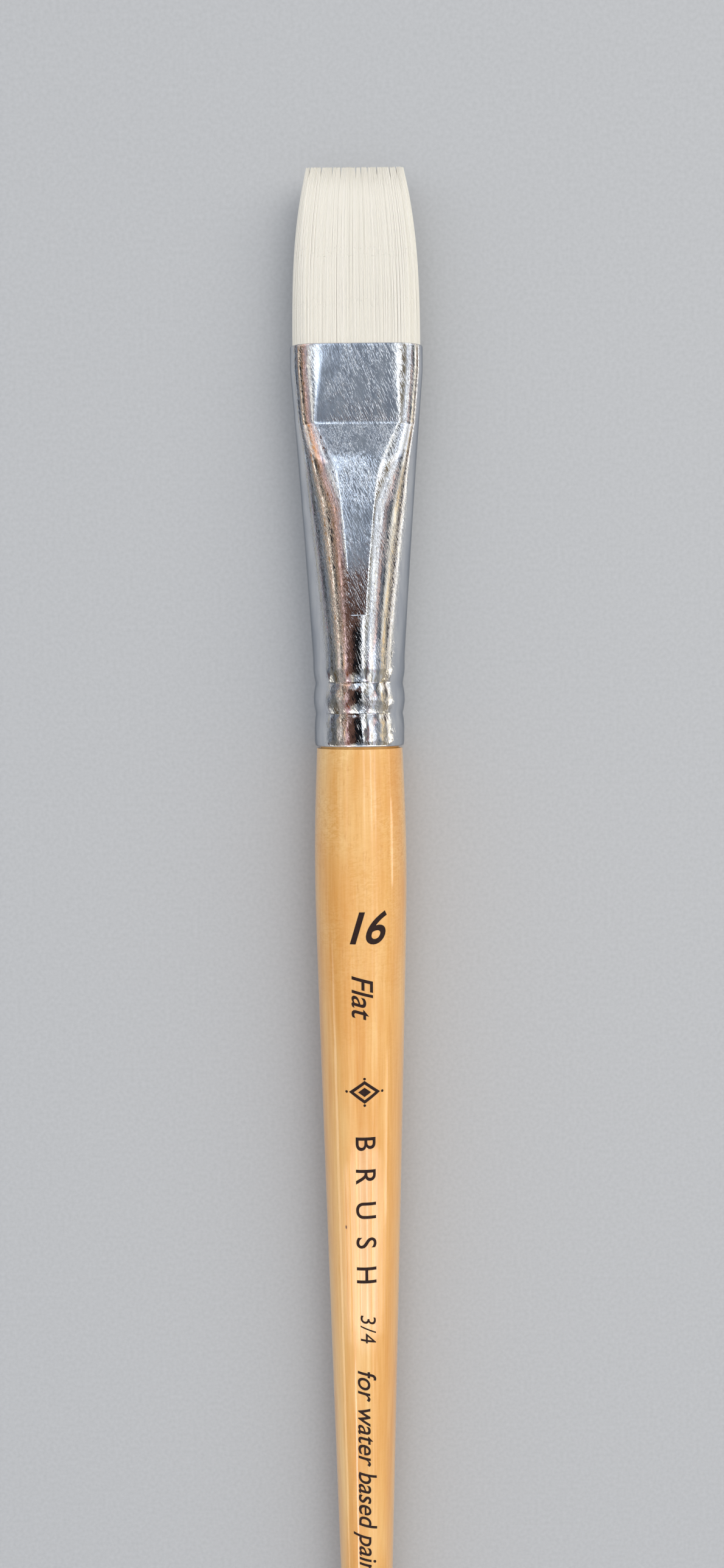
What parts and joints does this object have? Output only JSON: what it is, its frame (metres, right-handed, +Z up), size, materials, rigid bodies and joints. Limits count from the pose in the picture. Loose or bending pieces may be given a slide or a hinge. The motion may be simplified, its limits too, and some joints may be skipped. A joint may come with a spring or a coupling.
{
  "type": "flat paint brush",
  "caption": "Long-handled flat artist's brush: a springy synthetic tuft in a seamless crimped metal ferrule on a turned, lacquered wooden handle.",
  "frame": {"origin": "under the middle of the brush's overall length, on the surface that the belly of the handle rests on", "axes": "+Y along the brush from the tail of the handle to the toe of the hair, +X across the flat of the tuft, +Z up out of the ferrule's flat side"},
  "size_m": [0.0198, 0.3, 0.0142],
  "materials": {
    "lacquered_wood": "gloss",
    "wood_glue": "satin",
    "plated_ferrule": "polished",
    "hair_cement": "gloss",
    "synthetic_hair": "satin"
  },
  "bodies": {
    "grip": {"handle": "lacquered_wood", "handle_glue": "wood_glue", "ferrule": "plated_ferrule", "hair_cement": "hair_cement", "hair_root": "synthetic_hair"},
    "heel": {"hair_heel": "synthetic_hair"},
    "belly": {"hair_belly": "synthetic_hair"},
    "toe": {"hair_toe": "synthetic_hair"}
  },
  "joints": [
    {"name": "heel_flex", "type": "hinge", "parent": "grip", "child": "heel", "pos_m": [0, 0.12698, 0.00708], "axis": [1, 0, 0], "range_deg": [-24, 24], "stiffness_Nm_per_rad": 0.03},
    {"name": "belly_flex", "type": "hinge", "parent": "heel", "child": "belly", "pos_m": [0, 0.13388, 0.00708], "axis": [1, 0, 0], "range_deg": [-18, 18]},
    {"name": "toe_flex", "type": "hinge", "parent": "belly", "child": "toe", "pos_m": [0, 0.14148, 0.00708], "axis": [1, 0, 0], "range_deg": [-12, 12]}
  ],
  "couplings": [
    {"joint": "belly_flex", "follows": "heel_flex", "ratio": 0.75},
    {"joint": "toe_flex", "follows": "heel_flex", "ratio": 0.5}
  ]
}
